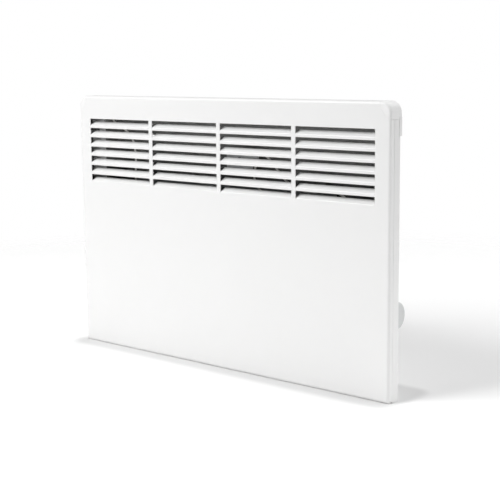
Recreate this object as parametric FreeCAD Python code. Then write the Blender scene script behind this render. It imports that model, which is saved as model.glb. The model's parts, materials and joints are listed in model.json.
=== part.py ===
"""Slim panel convector heater: a louvred sheet-steel front, a folded casing, a finned element and its controls.

Frame: origin at the middle of the bottom edges, +X to the viewer's right, front face towards -Y, +Z up.
Every function returns one node, and build_all writes them as STEP files.
"""
import FreeCAD
import Part
import math
import os

from FreeCAD import Vector

# ---- whole object (millimetres) ----
WIDTH = 585.0
HEIGHT = 389.0
DEPTH = 65.0
SHEET = 1.0
FRONT = -DEPTH / 2
BACK = DEPTH / 2
EDGE_BEND = 4.0

# ---- shells ----
RETURN_DEPTH = 8.0
SEAM_GAP = 0.4
TRAY_DEPTH = 23.5
BOX_HALF_WIDTH = 260.0
BOX_TOP = 374.0
BOX_BEND = 6.0
TAB_INSET = 1.2
PLATE_GAP = 0.1
FLANGE = 10.0
END_PLATE_SEAM = 20.0
STAY_COUNT = 5

# ---- louvres ----
BANKS = 4
ROWS = 7
BANK_PITCH = 136.0
LOUVRE_LENGTH = 129.0
FIRST_WINDOW_TOP = 354.0
ROW_PITCH = 14.36
WINDOW_HEIGHT = 11.4
BLADE_ANGLE = 62.0
BLADE_STRAIGHT = 9.6
BLADE_BEND = 2.2
BLADE_END_GAP = 0.3

# ---- corner caps ----
CAP_REACH = 24.5
CAP_OFFSET = 8.5
CAP_DROP = math.sqrt(CAP_REACH ** 2 - CAP_OFFSET ** 2)
CAP_ROUND = 15.0
CAP_WALL = 2.0
CAP_GAP = 0.2
SKIRT_BOTTOM = 345.0
SKIRT_PROUD = 0.5

# ---- heating element ----
ELEMENT_Y = 5.0
ELEMENT_Z = 78.0
TUBE_RADIUS = 5.0
FIN_THICK = 0.6
FIN_DEPTH = 36.0
FIN_HEIGHT = 56.0
FIN_PITCH = 7.0
FIN_COUNT = 56
BRACKET_X = (-236.0, 168.0)
BUSH_RADIUS = 9.0

# ---- overheat cut-out ----
CUTOUT_X = 1.0
CUTOUT_Y = 12.0
CUTOUT_Z = 298.0
CUTOUT_PLATE_WIDTH = 50.0

# ---- control bay ----
BAY_X = 190.0
BAY_TOP = 250.0
BULB_X = (30.0, 120.0)
BULB_Y = -13.0
BULB_Z = 20.0
KNOB_RADIUS = 18.7
KNOB_HEIGHT = 12.5
KNOB_Y = 11.5
KNOB_Z = 107.0
KNOB_OFF_ANGLE = 135.0
PLATE_THICK = 2.0
SHAFT_RADIUS = 3.0
RUNNING_CLEARANCE = 0.05
SWITCH_Y = 11.5
SWITCH_Z = 165.0
SWITCH_WIDTH = 13.0
SWITCH_LENGTH = 19.0
ROCKER_TILT = 9.0
GLAND_Y = 11.5
GLAND_Z = 36.0
CABLE_RADIUS = 3.75

# ---- wall slots ----
WALL_SLOT_X = 200.0
WALL_SLOT_Z = (65.0, 325.0)
WALL_SLOT_LENGTH = 20.0
WALL_SLOT_WIDTH = 6.0

LEAD_RADIUS = 1.5
SCREW_RADIUS = 1.75
X_AXIS = Vector(1, 0, 0)
Y_AXIS = Vector(0, 1, 0)
Z_AXIS = Vector(0, 0, 1)


# ---- shape helpers ----
def block(x0, x1, y0, y1, z0, z1):
    """A box between two corners."""
    return Part.makeBox(x1 - x0, y1 - y0, z1 - z0, Vector(x0, y0, z0))


def rod(radius, length, base, direction):
    """A solid cylinder that starts at base and runs along direction."""
    return Part.makeCylinder(radius, length, Vector(*base), direction)


def ring(outer, inner, length, base, direction):
    """A hollow cylinder."""
    return rod(outer, length, base, direction).cut(rod(inner, length, base, direction))


def edges_at(shape, **planes):
    """Straight edges whose two ends lie on every named plane, such as y=3.0."""
    found = []
    for edge in shape.Edges:
        ends = [vertex.Point for vertex in edge.Vertexes]
        if all(abs(getattr(end, axis) - value) < 1e-6 for end in ends for axis, value in planes.items()):
            found.append(edge)
    return found


def prism(outline, direction, length):
    """A flat closed outline pushed along direction by length."""
    return Part.Face(Part.Wire(outline)).extrude(direction * length)


def polygon_prism(points, direction, length):
    """A closed polygon of 3-D points pushed along direction by length."""
    corners = [Vector(*point) for point in points]
    return Part.Face(Part.makePolygon(corners + corners[:1])).extrude(direction * length)


def slot_cutter(x, z, width, height, y0, y1):
    """A round-ended slot along X that cuts from y0 to y1."""
    half = (width - height) / 2
    cutter = block(x - half, x + half, y0, y1, z - height / 2, z + height / 2)
    for end in (x - half, x + half):
        cutter = cutter.fuse(rod(height / 2, y1 - y0, (end, y0, z), Y_AXIS))
    return cutter


def lead(points, radius=LEAD_RADIUS):
    """An insulated wire that follows a smooth curve through hand-laid points."""
    curve = Part.BSplineCurve()
    curve.interpolate([Vector(*point) for point in points])
    path = Part.Wire(curve.toShape())
    start = curve.value(curve.FirstParameter)
    tangent = curve.tangent(curve.FirstParameter)[0]
    section = Part.Wire(Part.makeCircle(radius, start, tangent))
    return path.makePipeShell([section], True, True)


def pan_screw(base, direction, head_radius=3.4, head_height=2.0, shank=6.0):
    """A pan-head screw: base is under the head, and the shank runs along direction."""
    start = Vector(*base)
    head = Part.makeCylinder(head_radius, head_height, start - direction * head_height, direction)
    head = head.makeFillet(0.8, [head.Edges[edge] for edge in range(len(head.Edges))
                                 if is_far_circle(head.Edges[edge], start - direction * head_height)])
    recess = Part.makeCylinder(0.9, 1.2, start - direction * head_height, direction)
    return head.cut(recess).fuse(Part.makeCylinder(SCREW_RADIUS - 0.1, shank, start, direction))


def is_far_circle(edge, centre):
    """True for a round edge centred on a point."""
    curve = edge.Curve
    return hasattr(curve, "Radius") and curve.Center.distanceToPoint(centre) < 1e-6


def group(solids):
    """Several separate solids in one node."""
    return Part.makeCompound(solids)


# ---- shells ----
def corner_bite(radius, side, y0, y1):
    """The round bite that a top corner cap fills, centred a little outside the casing's side."""
    return rod(radius, y1 - y0, (side * (WIDTH / 2 + CAP_OFFSET), y0, HEIGHT), Y_AXIS)


def corner_cylinders(radius, y0, y1):
    """The bites of both top corner caps."""
    return [corner_bite(radius, side, y0, y1) for side in (-1, 1)]


def pan(inset, y0, y1, bend, bent_face):
    """A box of the panel's outline, inset all round, with the edges of one face rounded."""
    half = WIDTH / 2 - inset
    shape = block(-half, half, y0, y1, inset, HEIGHT - inset)
    return shape.makeFillet(bend, edges_at(shape, y=bent_face))


def blade_solid(x0, length, floor_z):
    """One louvre blade: it bends inwards from the lower edge of its window."""
    angle = math.radians(BLADE_ANGLE)
    mid = angle / 2
    inner = BLADE_BEND - SHEET

    def at(radius, turn, run=0.0):
        """A point of the blade's section, from the bend's centre and a run along the straight."""
        y = FRONT + BLADE_BEND - radius * math.cos(turn) + run * math.sin(angle)
        z = floor_z + radius * math.sin(turn) + run * math.cos(angle)
        return Vector(x0, y, z)

    root = 0.6
    outer_root = Vector(x0, FRONT, floor_z - root)
    inner_root = Vector(x0, FRONT + SHEET, floor_z - root)
    outline = [
        Part.makeLine(outer_root, at(BLADE_BEND, 0)),
        Part.Arc(at(BLADE_BEND, 0), at(BLADE_BEND, mid), at(BLADE_BEND, angle)).toShape(),
        Part.makeLine(at(BLADE_BEND, angle), at(BLADE_BEND, angle, BLADE_STRAIGHT)),
        Part.makeLine(at(BLADE_BEND, angle, BLADE_STRAIGHT), at(inner, angle, BLADE_STRAIGHT)),
        Part.makeLine(at(inner, angle, BLADE_STRAIGHT), at(inner, angle)),
        Part.Arc(at(inner, angle), at(inner, mid), at(inner, 0)).toShape(),
        Part.makeLine(at(inner, 0), inner_root),
        Part.makeLine(inner_root, outer_root),
    ]
    return prism(outline, X_AXIS, length)


def front_panel():
    """The front cover: one sheet with shallow returns and four banks of lanced louvres."""
    shell = pan(0, FRONT, FRONT + RETURN_DEPTH, EDGE_BEND, FRONT)
    shell = shell.cut(pan(SHEET, FRONT + SHEET, FRONT + RETURN_DEPTH + 2, EDGE_BEND - SHEET, FRONT + SHEET))
    shell = shell.cut(corner_cylinders(CAP_REACH + CAP_GAP, FRONT - 1, FRONT + RETURN_DEPTH + 1))
    windows = []
    blades = []
    first_x = -((BANKS - 1) * BANK_PITCH + LOUVRE_LENGTH) / 2
    for bank in range(BANKS):
        for row in range(ROWS):
            x0 = first_x + bank * BANK_PITCH
            z0 = FIRST_WINDOW_TOP - row * ROW_PITCH - WINDOW_HEIGHT
            windows.append(block(x0, x0 + LOUVRE_LENGTH, FRONT - 1, FRONT + 2, z0, z0 + WINDOW_HEIGHT))
            blades.append(blade_solid(x0 + BLADE_END_GAP, LOUVRE_LENGTH - 2 * BLADE_END_GAP, z0))
    relief = [block(side * (WIDTH / 2 - 1.5) - 1.6, side * (WIDTH / 2 - 1.5) + 1.6,
                    FRONT + 4.5, FRONT + RETURN_DEPTH + 1, -1, 2.6) for side in (-1, 1)]
    return shell.cut(windows + relief).fuse(blades)


def frame_ring(outer_inset, inner_inset, y0, y1):
    """A rectangular ring that follows the panel's outline."""
    outer = pan_block(outer_inset, y0, y1)
    return outer.cut(pan_block(inner_inset, y0 - 1, y1 + 1))


def pan_block(inset, y0, y1):
    """A square-edged box of the panel's outline, inset all round."""
    half = WIDTH / 2 - inset
    return block(-half, half, y0, y1, inset, HEIGHT - inset)


def tray_solid(inset, y0, y1):
    """The filled volume of the rear tray, with its side and top edges rounded at the back."""
    half = WIDTH / 2 - inset
    shape = block(-half, half, y0, y1, inset, HEIGHT - inset)
    rounded = edges_at(shape, y=y1, x=-half) + edges_at(shape, y=y1, x=half)
    rounded += edges_at(shape, y=y1, z=HEIGHT - inset)
    return shape.makeFillet(EDGE_BEND - inset, rounded)


def box_solid(inset, y0, z0):
    """The filled volume of the deep box behind the tray."""
    half = BOX_HALF_WIDTH - inset
    y1 = BACK - inset
    top = BOX_TOP - inset
    shape = block(-half, half, y0, y1, z0, top)
    rounded = edges_at(shape, y=y1, x=-half) + edges_at(shape, y=y1, x=half) + edges_at(shape, y=y1, z=top)
    return shape.makeFillet(BOX_BEND - inset, rounded)


def casing_frame():
    """The shallow tray behind the front cover: side walls, a joggled tab and a back flange with the box's opening."""
    tray_front = FRONT + RETURN_DEPTH + SEAM_GAP
    tray_back = FRONT + TRAY_DEPTH
    shell = tray_solid(0, tray_front, tray_back)
    shell = shell.cut(tray_solid(SHEET, tray_front - 1, tray_back - SHEET))
    half = BOX_HALF_WIDTH - SHEET
    shell = shell.cut(block(-half, half, tray_back - SHEET - 0.1, tray_back + 1, -1, BOX_TOP - SHEET))
    joggle = frame_ring(0, TAB_INSET + SHEET, tray_front, tray_front + SHEET)
    tab = frame_ring(TAB_INSET, TAB_INSET + SHEET, FRONT + 3.2, tray_front + SHEET)
    shell = shell.fuse([joggle, tab])
    shell = shell.cut(corner_cylinders(CAP_REACH + CAP_GAP, FRONT - 1, tray_back + 1))
    return shell.cut([rod(SCREW_RADIUS, 4, (x, tray_back - 3, z), Y_AXIS) for x, z in panel_screw_places()])


def rear_panel():
    """The rear wall of the deep box, with its folded top, its rounded side bends and the four wall slots."""
    y0 = FRONT + TRAY_DEPTH + PLATE_GAP
    shell = box_solid(0, y0, 0).cut(box_solid(SHEET, y0 - 1, -1))
    side_cuts = []
    for side in (-1, 1):
        x0, x1 = sorted((side * (BOX_HALF_WIDTH - SHEET - 0.5), side * (BOX_HALF_WIDTH + 1)))
        side_cuts.append(block(x0, x1, y0 - 1, END_PLATE_SEAM + PLATE_GAP, -1, BOX_TOP - SHEET))
    lip_half = BOX_HALF_WIDTH - 4
    lip = block(-lip_half, lip_half, y0, y0 + SHEET, BOX_TOP - SHEET, BOX_TOP + FLANGE - 1)
    holes = [slot_cutter(side * WALL_SLOT_X, z, WALL_SLOT_LENGTH, WALL_SLOT_WIDTH, BACK - 4, BACK + 1)
             for side in (-1, 1) for z in WALL_SLOT_Z]
    holes += [rod(SCREW_RADIUS, 4, (x, BACK - 3, z), Y_AXIS) for x, z in bracket_screw_places()]
    return shell.cut(side_cuts).fuse(lip).cut(holes)


def end_plate(side):
    """An end wall of the deep box: a flat plate with a front flange and two straps inside the rear panel."""
    y0 = FRONT + TRAY_DEPTH + PLATE_GAP
    x0, x1 = sorted((side * (BOX_HALF_WIDTH - SHEET), side * BOX_HALF_WIDTH))
    plate = block(x0, x1, y0, END_PLATE_SEAM, 0, BOX_TOP - SHEET - PLATE_GAP)
    x0, x1 = sorted((side * (BOX_HALF_WIDTH - SHEET), side * (BOX_HALF_WIDTH + FLANGE)))
    flange = block(x0, x1, y0, y0 + SHEET, 0, BOX_TOP - SHEET - PLATE_GAP)
    inner = BOX_HALF_WIDTH - 2 * SHEET - PLATE_GAP
    straps = []
    for z0, z1 in ((50.0, 70.0), (200.0, 360.0)):
        x0, x1 = sorted((side * inner, side * (inner + SHEET)))
        straps.append(block(x0, x1, END_PLATE_SEAM - 3, BACK - BOX_BEND, z0, z1))
        x0, x1 = sorted((side * inner, side * BOX_HALF_WIDTH))
        straps.append(block(x0, x1, END_PLATE_SEAM - 3, END_PLATE_SEAM - 2, z0, z1))
    plate = plate.fuse([flange] + straps)
    return plate.cut(control_holes()) if side > 0 else plate


def control_holes():
    """The holes of the right end plate: for the thermostat's neck, the gland and the switch."""
    wall = BOX_HALF_WIDTH - 4
    switch = block(wall, wall + 6, SWITCH_Y - SWITCH_WIDTH / 2, SWITCH_Y + SWITCH_WIDTH / 2,
                   SWITCH_Z - SWITCH_LENGTH / 2, SWITCH_Z + SWITCH_LENGTH / 2)
    return [rod(5.1, 6, (wall, KNOB_Y, KNOB_Z), X_AXIS), rod(6.1, 6, (wall, GLAND_Y, GLAND_Z), X_AXIS), switch]


def cap_outline(inset, reach, side, y0, y1, bend=0.0):
    """A corner piece: the rounded outline of the panel, with its front edge bent, kept inside a cap's circle."""
    half = WIDTH / 2 - inset
    x0, x1 = sorted((side * half, side * (half - 60)))
    plate = block(x0, x1, y0, y1, HEIGHT - 60, HEIGHT - inset)
    plate = plate.makeFillet(CAP_ROUND - inset, edges_at(plate, x=side * half, z=HEIGHT - inset))
    if bend:
        plate = plate.makeFillet(bend, edges_at(plate, y=y0))
    return plate.common(corner_bite(reach, side, y0, y1))


def corner_cap(side):
    """A moulded corner cap: leaf-shaped faces, a soft front edge, a lip under the panel and a rear skirt."""
    y1 = FRONT + TRAY_DEPTH
    cap = cap_outline(0, CAP_REACH, side, FRONT, y1, EDGE_BEND)
    hollow = cap_outline(CAP_WALL, CAP_REACH + 5, side, FRONT + CAP_WALL, y1 - CAP_WALL, EDGE_BEND - CAP_WALL)
    cap = cap.cut(hollow)
    lip = cap_outline(EDGE_BEND + 0.2, CAP_REACH + 5, side, FRONT + SHEET + 0.15, FRONT + CAP_WALL + 0.4)
    outer = side * (WIDTH / 2 + SKIRT_PROUD)
    inner = side * (WIDTH / 2 - 3.0)
    x0, x1 = sorted((inner, outer))
    seam = HEIGHT - CAP_DROP
    skirt = block(x0, x1, y1 - 4.6, y1 + 0.4, SKIRT_BOTTOM, seam + 1).cut(tray_solid(0, FRONT, y1))
    root = block(x0, x1, y1 - 4.6, y1 + 0.4, seam - 0.1, seam + 2.5)
    root = root.common(corner_bite(CAP_REACH, side, y1 - 5, y1 + 1))
    return cap.fuse([lip, skirt, root])


def air_deflector():
    """The sloping sheet above the louvres that turns the rising air out to the front."""
    y0 = FRONT + 6
    y1 = BACK - SHEET - 0.2
    z0 = BOX_TOP + 1
    z1 = BOX_TOP - 14
    foot = 8.0
    thick = 0.6
    half = BOX_HALF_WIDTH - 6
    points = [(-half, y0, z0), (-half, y1, z1), (-half, y1, z1 - foot), (-half, y1 - thick, z1 - foot),
              (-half, y1 - thick, z1 - thick), (-half, y0, z0 - thick)]
    return polygon_prism(points, X_AXIS, 2 * half)


def stay_places():
    """The middles of the bottom stays along X, evenly spread over the intake."""
    left = -BOX_HALF_WIDTH + 2
    pitch = (BAY_X - 4 - left) / (STAY_COUNT + 1)
    return [left + pitch * (place + 1) for place in range(STAY_COUNT)]


def bottom_stays():
    """Flat stays that bridge the open bottom from front to back and carry the casing's weight."""
    stays = []
    for x in stay_places():
        y0 = FRONT + TRAY_DEPTH - 8
        bar = block(x - 6, x + 6, y0, BACK - SHEET - 0.1, SHEET + 0.05, SHEET + 1.25)
        rib = block(x - 1, x + 1, y0 + 9, BACK - SHEET - 0.1, SHEET + 0.05, SHEET + 7)
        foot = block(x - 6, x + 6, BACK - SHEET - 1.3, BACK - SHEET - 0.1, SHEET + 0.05, SHEET + 16)
        stays.append(bar.fuse([rib, foot]))
    return group(stays)


def heat_shield(y, z0, z1, lip):
    """A bright sheet beside the element, with its top and bottom edges turned by lip."""
    x0 = BRACKET_X[0] + 4
    x1 = BRACKET_X[1] - 4
    thick = 0.5
    sheet = block(x0, x1, y, y + thick, z0, z1)
    low = min(y, y + lip)
    high = max(y + thick, y + lip)
    return sheet.fuse([block(x0, x1, low, high, z0, z0 + thick), block(x0, x1, low, high, z1 - thick, z1)])


# ---- heating element ----
def element_tube():
    """The sheathed heating rod with a terminal pin at each end."""
    x0 = BRACKET_X[0] - 8
    x1 = BRACKET_X[1] + 8
    tube = rod(TUBE_RADIUS, x1 - x0, (x0, ELEMENT_Y, ELEMENT_Z), X_AXIS)
    pin = rod(1.6, x1 - x0 + 14, (x0 - 7, ELEMENT_Y, ELEMENT_Z), X_AXIS)
    collars = [rod(3.4, 3, (x, ELEMENT_Y, ELEMENT_Z), X_AXIS) for x in (x0 - 3, x1)]
    return tube.fuse([pin] + collars)


def element_fins():
    """The stack of thin aluminium fins pressed on the rod."""
    first = (BRACKET_X[0] + BRACKET_X[1]) / 2 - (FIN_COUNT - 1) * FIN_PITCH / 2
    fins = []
    for place in range(FIN_COUNT):
        x = first + place * FIN_PITCH
        fin = block(x, x + FIN_THICK, ELEMENT_Y - FIN_DEPTH / 2, ELEMENT_Y + FIN_DEPTH / 2,
                    ELEMENT_Z - FIN_HEIGHT / 2, ELEMENT_Z + FIN_HEIGHT / 2)
        collar = rod(TUBE_RADIUS + 0.8, 2.0, (x, ELEMENT_Y, ELEMENT_Z), X_AXIS)
        bore = rod(TUBE_RADIUS + 0.02, 4.0, (x - 1, ELEMENT_Y, ELEMENT_Z), X_AXIS)
        fins.append(fin.fuse(collar).cut(bore))
    return group(fins)


def element_bush(side):
    """A ceramic bush that holds one end of the rod in its bracket."""
    x = BRACKET_X[0] if side < 0 else BRACKET_X[1]
    body = rod(BUSH_RADIUS, 9, (x - 4.5, ELEMENT_Y, ELEMENT_Z), X_AXIS)
    start = x + SHEET / 2 + 0.05 if side < 0 else x - SHEET / 2 - 0.05 - 2.5
    flange = rod(BUSH_RADIUS + 3, 2.5, (start, ELEMENT_Y, ELEMENT_Z), X_AXIS)
    bore = rod(TUBE_RADIUS + 0.1, 20, (x - 10, ELEMENT_Y, ELEMENT_Z), X_AXIS)
    return body.fuse(flange).cut(bore)


def bracket_screw_places():
    """Where the element brackets are screwed to the rear wall, as (x, z)."""
    return [(x + 9 * (-1 if x < 0 else 1), z) for x in BRACKET_X for z in (52.0, 104.0)]


def element_bracket(side):
    """A sheet bracket with a foot on the rear wall and a hole for the ceramic bush."""
    x = BRACKET_X[0] if side < 0 else BRACKET_X[1]
    wall = BACK - SHEET - 0.1
    plate = block(x - SHEET / 2, x + SHEET / 2, FRONT + 11.2, wall, 40, 116)
    foot_x = sorted((x, x + side * 16))
    foot = block(foot_x[0], foot_x[1], wall - SHEET, wall, 40, 116)
    holes = [rod(BUSH_RADIUS + 0.1, 4, (x - 2, ELEMENT_Y, ELEMENT_Z), X_AXIS)]
    holes += [rod(SCREW_RADIUS, 6, (sx, wall - 3, sz), Y_AXIS) for sx, sz in bracket_screw_places()]
    return plate.fuse(foot).cut(holes)


def bracket_screws():
    """Screws that hold the element brackets to the rear wall."""
    seat = BACK - 2 * SHEET - 0.15
    return group([pan_screw((x, seat, z), Y_AXIS, shank=BACK - seat) for x, z in bracket_screw_places()])


# ---- overheat protection ----
def cutout_plate():
    """A small plate that stands off the rear wall and carries the cut-out, with an ear to tie the leads to."""
    half = CUTOUT_PLATE_WIDTH / 2
    plate = block(CUTOUT_X - half, CUTOUT_X + half, CUTOUT_Y, CUTOUT_Y + SHEET, CUTOUT_Z - 14, CUTOUT_Z + 14)
    corners = [edge for x in (-half, half) for z in (-14, 14)
               for edge in edges_at(plate, x=CUTOUT_X + x, z=CUTOUT_Z + z)]
    plate = plate.makeFillet(6.0, corners)
    wall = BACK - SHEET - 0.1
    legs = []
    for side in (-1, 1):
        x = CUTOUT_X + side * (half - 8)
        legs.append(block(x - 5, x + 5, CUTOUT_Y, wall, CUTOUT_Z - 14, CUTOUT_Z - 13))
        legs.append(block(x - 5, x + 5, wall - SHEET, wall, CUTOUT_Z - 24, CUTOUT_Z - 13))
    ear = block(CUTOUT_X + half - 1, CUTOUT_X + half + 11, CUTOUT_Y, CUTOUT_Y + SHEET, CUTOUT_Z, CUTOUT_Z + 8)
    hole = rod(5.5, 6, (CUTOUT_X, CUTOUT_Y - 2, CUTOUT_Z), Y_AXIS)
    screw_holes = [rod(SCREW_RADIUS, 6, (CUTOUT_X + side * 12, CUTOUT_Y - 2, CUTOUT_Z), Y_AXIS) for side in (-1, 1)]
    return plate.fuse(legs + [ear]).cut([hole] + screw_holes)


def thermal_cutout():
    """The disc thermostat that opens the circuit if the air path is covered."""
    y = CUTOUT_Y + SHEET + 0.05
    ears = block(CUTOUT_X - 16, CUTOUT_X + 16, y, y + 1, CUTOUT_Z - 5, CUTOUT_Z + 5)
    body = rod(8.0, 8, (CUTOUT_X, y, CUTOUT_Z), Y_AXIS)
    dome = rod(5.0, 2.5, (CUTOUT_X, y - 2.5, CUTOUT_Z), Y_AXIS)
    tabs = [block(CUTOUT_X + side * 5 - 0.4, CUTOUT_X + side * 5 + 0.4, y + 6, y + 14, CUTOUT_Z - 3, CUTOUT_Z + 3)
            for side in (-1, 1)]
    holes = [rod(SCREW_RADIUS, 6, (CUTOUT_X + side * 12, y - 2, CUTOUT_Z), Y_AXIS) for side in (-1, 1)]
    return ears.fuse([body, dome] + tabs).cut(holes)


def cutout_screws():
    """The two screws through the cut-out's ears."""
    return group([pan_screw((CUTOUT_X + side * 12, CUTOUT_Y - 0.05, CUTOUT_Z), Y_AXIS, 3.0, 1.6, 5.0)
                  for side in (-1, 1)])


# ---- control bay ----
def bay_partition():
    """The sheet that walls off the control bay and closes its floor."""
    y0 = FRONT + TRAY_DEPTH + 0.2
    y1 = BACK - SHEET - 0.1
    wall = block(BAY_X, BAY_X + SHEET, FRONT + 12, y1, SHEET + 0.2, BAY_TOP)
    x1 = BOX_HALF_WIDTH - SHEET - 0.2
    floor = block(BAY_X, x1, y0, y1, SHEET + 0.2, 2 * SHEET + 0.2)
    floor = floor.makeFillet(BOX_BEND, edges_at(floor, x=x1, y=y1))
    passages = [rod(3, 4, (BAY_X - 1, BULB_Y, BULB_Z), X_AXIS)]
    return wall.fuse(floor).cut(passages)


def plate_corners():
    """The outline of the control plate on the casing's right wall, as (y0, y1, z0, z1)."""
    return (FRONT + TRAY_DEPTH + 1.6, BACK - BOX_BEND, 74.0, 192.0)


def control_plate():
    """The moulded plate around the knob and the switch, with a ring of raised dial marks."""
    y0, y1, z0, z1 = plate_corners()
    x0 = BOX_HALF_WIDTH + 0.05
    plate = block(x0, x0 + PLATE_THICK, y0, y1, z0, z1)
    corners = [edge for y in (y0, y1) for z in (z0, z1) for edge in edges_at(plate, y=y, z=z)]
    plate = plate.makeFillet(4.0, corners)
    cuts = [rod(7.5, 4, (x0 - 1, KNOB_Y, KNOB_Z), X_AXIS)]
    cuts.append(block(x0 - 1, x0 + 4, SWITCH_Y - SWITCH_WIDTH / 2, SWITCH_Y + SWITCH_WIDTH / 2,
                      SWITCH_Z - SWITCH_LENGTH / 2, SWITCH_Z + SWITCH_LENGTH / 2))
    cuts += [rod(SCREW_RADIUS, 6, (x0 - 2, y, z), X_AXIS) for y, z in plate_screw_places()]
    return plate.cut(cuts)


def plate_screw_places():
    """Where the control plate is screwed to the wall, as (y, z)."""
    y0, y1, z0, z1 = plate_corners()
    return [((y0 + y1) / 2 - 6, z1 - 7), ((y0 + y1) / 2 - 6, z0 + 6)]


def plate_screws():
    """The control plate's two screws."""
    x = BOX_HALF_WIDTH + PLATE_THICK + 0.1
    return group([pan_screw((x, y, z), X_AXIS * -1, 3.0, 1.6, PLATE_THICK - 0.1) for y, z in plate_screw_places()])


def thermostat_body():
    """The capillary thermostat: a flat case with a threaded neck through the casing wall."""
    x1 = BOX_HALF_WIDTH - SHEET - 0.1
    x0 = x1 - 22
    case = block(x0, x1 - 2, KNOB_Y - 17, KNOB_Y + 15, KNOB_Z - 16, KNOB_Z + 16)
    lid = block(x1 - 2, x1, KNOB_Y - 18, KNOB_Y + 16, KNOB_Z - 17, KNOB_Z + 17)
    neck = rod(5.0, 3.3, (x1, KNOB_Y, KNOB_Z), X_AXIS)
    tabs = [block(x0 - 7, x0, y - 0.4, y + 0.4, KNOB_Z + 4, KNOB_Z + 10) for y in (KNOB_Y - 8, KNOB_Y + 6)]
    bore = rod(SHAFT_RADIUS + RUNNING_CLEARANCE, 24, (x1 - 14, KNOB_Y, KNOB_Z), X_AXIS)
    return case.fuse([lid, neck] + tabs).cut(bore)


def thermostat_nut():
    """The thin nut that clamps the thermostat's neck to the wall."""
    x = BOX_HALF_WIDTH + 0.1
    corners = []
    for corner in range(6):
        turn = math.radians(60 * corner)
        corners.append((x, KNOB_Y + 7.0 * math.cos(turn), KNOB_Z + 7.0 * math.sin(turn)))
    return polygon_prism(corners, X_AXIS, 1.8).cut(rod(5.02, 4, (x - 1, KNOB_Y, KNOB_Z), X_AXIS))


def thermostat_shaft():
    """The control shaft, with a flat near its outer end."""
    x0 = BOX_HALF_WIDTH - 14
    x1 = BOX_HALF_WIDTH + 13
    shaft = rod(SHAFT_RADIUS, x1 - x0, (x0, KNOB_Y, KNOB_Z), X_AXIS)
    flat = block(x1 - 8, x1 + 1, KNOB_Y - 4, KNOB_Y + 4, KNOB_Z + 1.6, KNOB_Z + 4)
    return shaft.cut(flat)


def thermostat_knob():
    """The round knob: a fluted cap with a hub that grips the shaft and a raised pointer."""
    x1 = BOX_HALF_WIDTH + PLATE_THICK + 0.8 + KNOB_HEIGHT
    x0 = x1 - KNOB_HEIGHT
    body = rod(KNOB_RADIUS, KNOB_HEIGHT, (x0, KNOB_Y, KNOB_Z), X_AXIS)
    rim = [edge for edge in body.Edges if is_far_circle(edge, Vector(x1, KNOB_Y, KNOB_Z))]
    body = body.makeFillet(1.6, rim)
    body = body.cut(rod(KNOB_RADIUS - 2.2, KNOB_HEIGHT - 2.4, (x0, KNOB_Y, KNOB_Z), X_AXIS))
    hub = rod(6.2, KNOB_HEIGHT - 2.0, (x0 + 1, KNOB_Y, KNOB_Z), X_AXIS)
    body = body.fuse(hub)
    socket = rod(SHAFT_RADIUS + 0.02, x1 - 1.6 - x0, (x0, KNOB_Y, KNOB_Z), X_AXIS)
    key = block(x1 - 9.8, x1, KNOB_Y - 4, KNOB_Y + 4, KNOB_Z + 1.62, KNOB_Z + 4)
    flutes = []
    for flute in range(24):
        turn = math.radians(15 * flute)
        y = KNOB_Y + (KNOB_RADIUS + 0.9) * math.cos(turn)
        z = KNOB_Z + (KNOB_RADIUS + 0.9) * math.sin(turn)
        flutes.append(rod(1.6, KNOB_HEIGHT - 3.6, (x0, y, z), X_AXIS))
    pointer = block(x1 - 0.4, x1 + 0.5, KNOB_Y - 0.8, KNOB_Y + 0.8, KNOB_Z + 6, KNOB_Z + KNOB_RADIUS - 2.6)
    pointer.rotate(Vector(x1, KNOB_Y, KNOB_Z), X_AXIS, KNOB_OFF_ANGLE)
    return body.cut(socket.cut(key)).cut(flutes).fuse(pointer)


def sensor_bulb():
    """The thermostat's sensing bulb, low in the cool incoming air."""
    return rod(3.0, BULB_X[1] - BULB_X[0], (BULB_X[0], BULB_Y, BULB_Z), X_AXIS)


def sensor_capillary():
    """The fine tube from the sensing bulb to the thermostat."""
    start = (BULB_X[1] + 0.1, BULB_Y, BULB_Z)
    return lead([start, (150, BULB_Y, BULB_Z), (180, BULB_Y, BULB_Z), (204, -10, 22), (222, 0, 52), (236, 4, 89)], 0.8)


def bulb_clips():
    """Two clips that stand on the bottom stays and hold the sensing bulb."""
    clips = []
    seat = SHEET + 1.3
    for x in stay_places()[-2:]:
        loop = ring(4.0, 3.05, 5.0, (x - 2.5, BULB_Y, BULB_Z), X_AXIS)
        foot = block(x - 2.5, x + 2.5, BULB_Y - 0.5, BULB_Y + 0.5, seat, BULB_Z - 3.6)
        base = block(x - 2.5, x + 2.5, BULB_Y - 4, BULB_Y + 0.5, seat, seat + 1)
        clips.append(loop.fuse([foot, base]))
    return group(clips)


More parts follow.
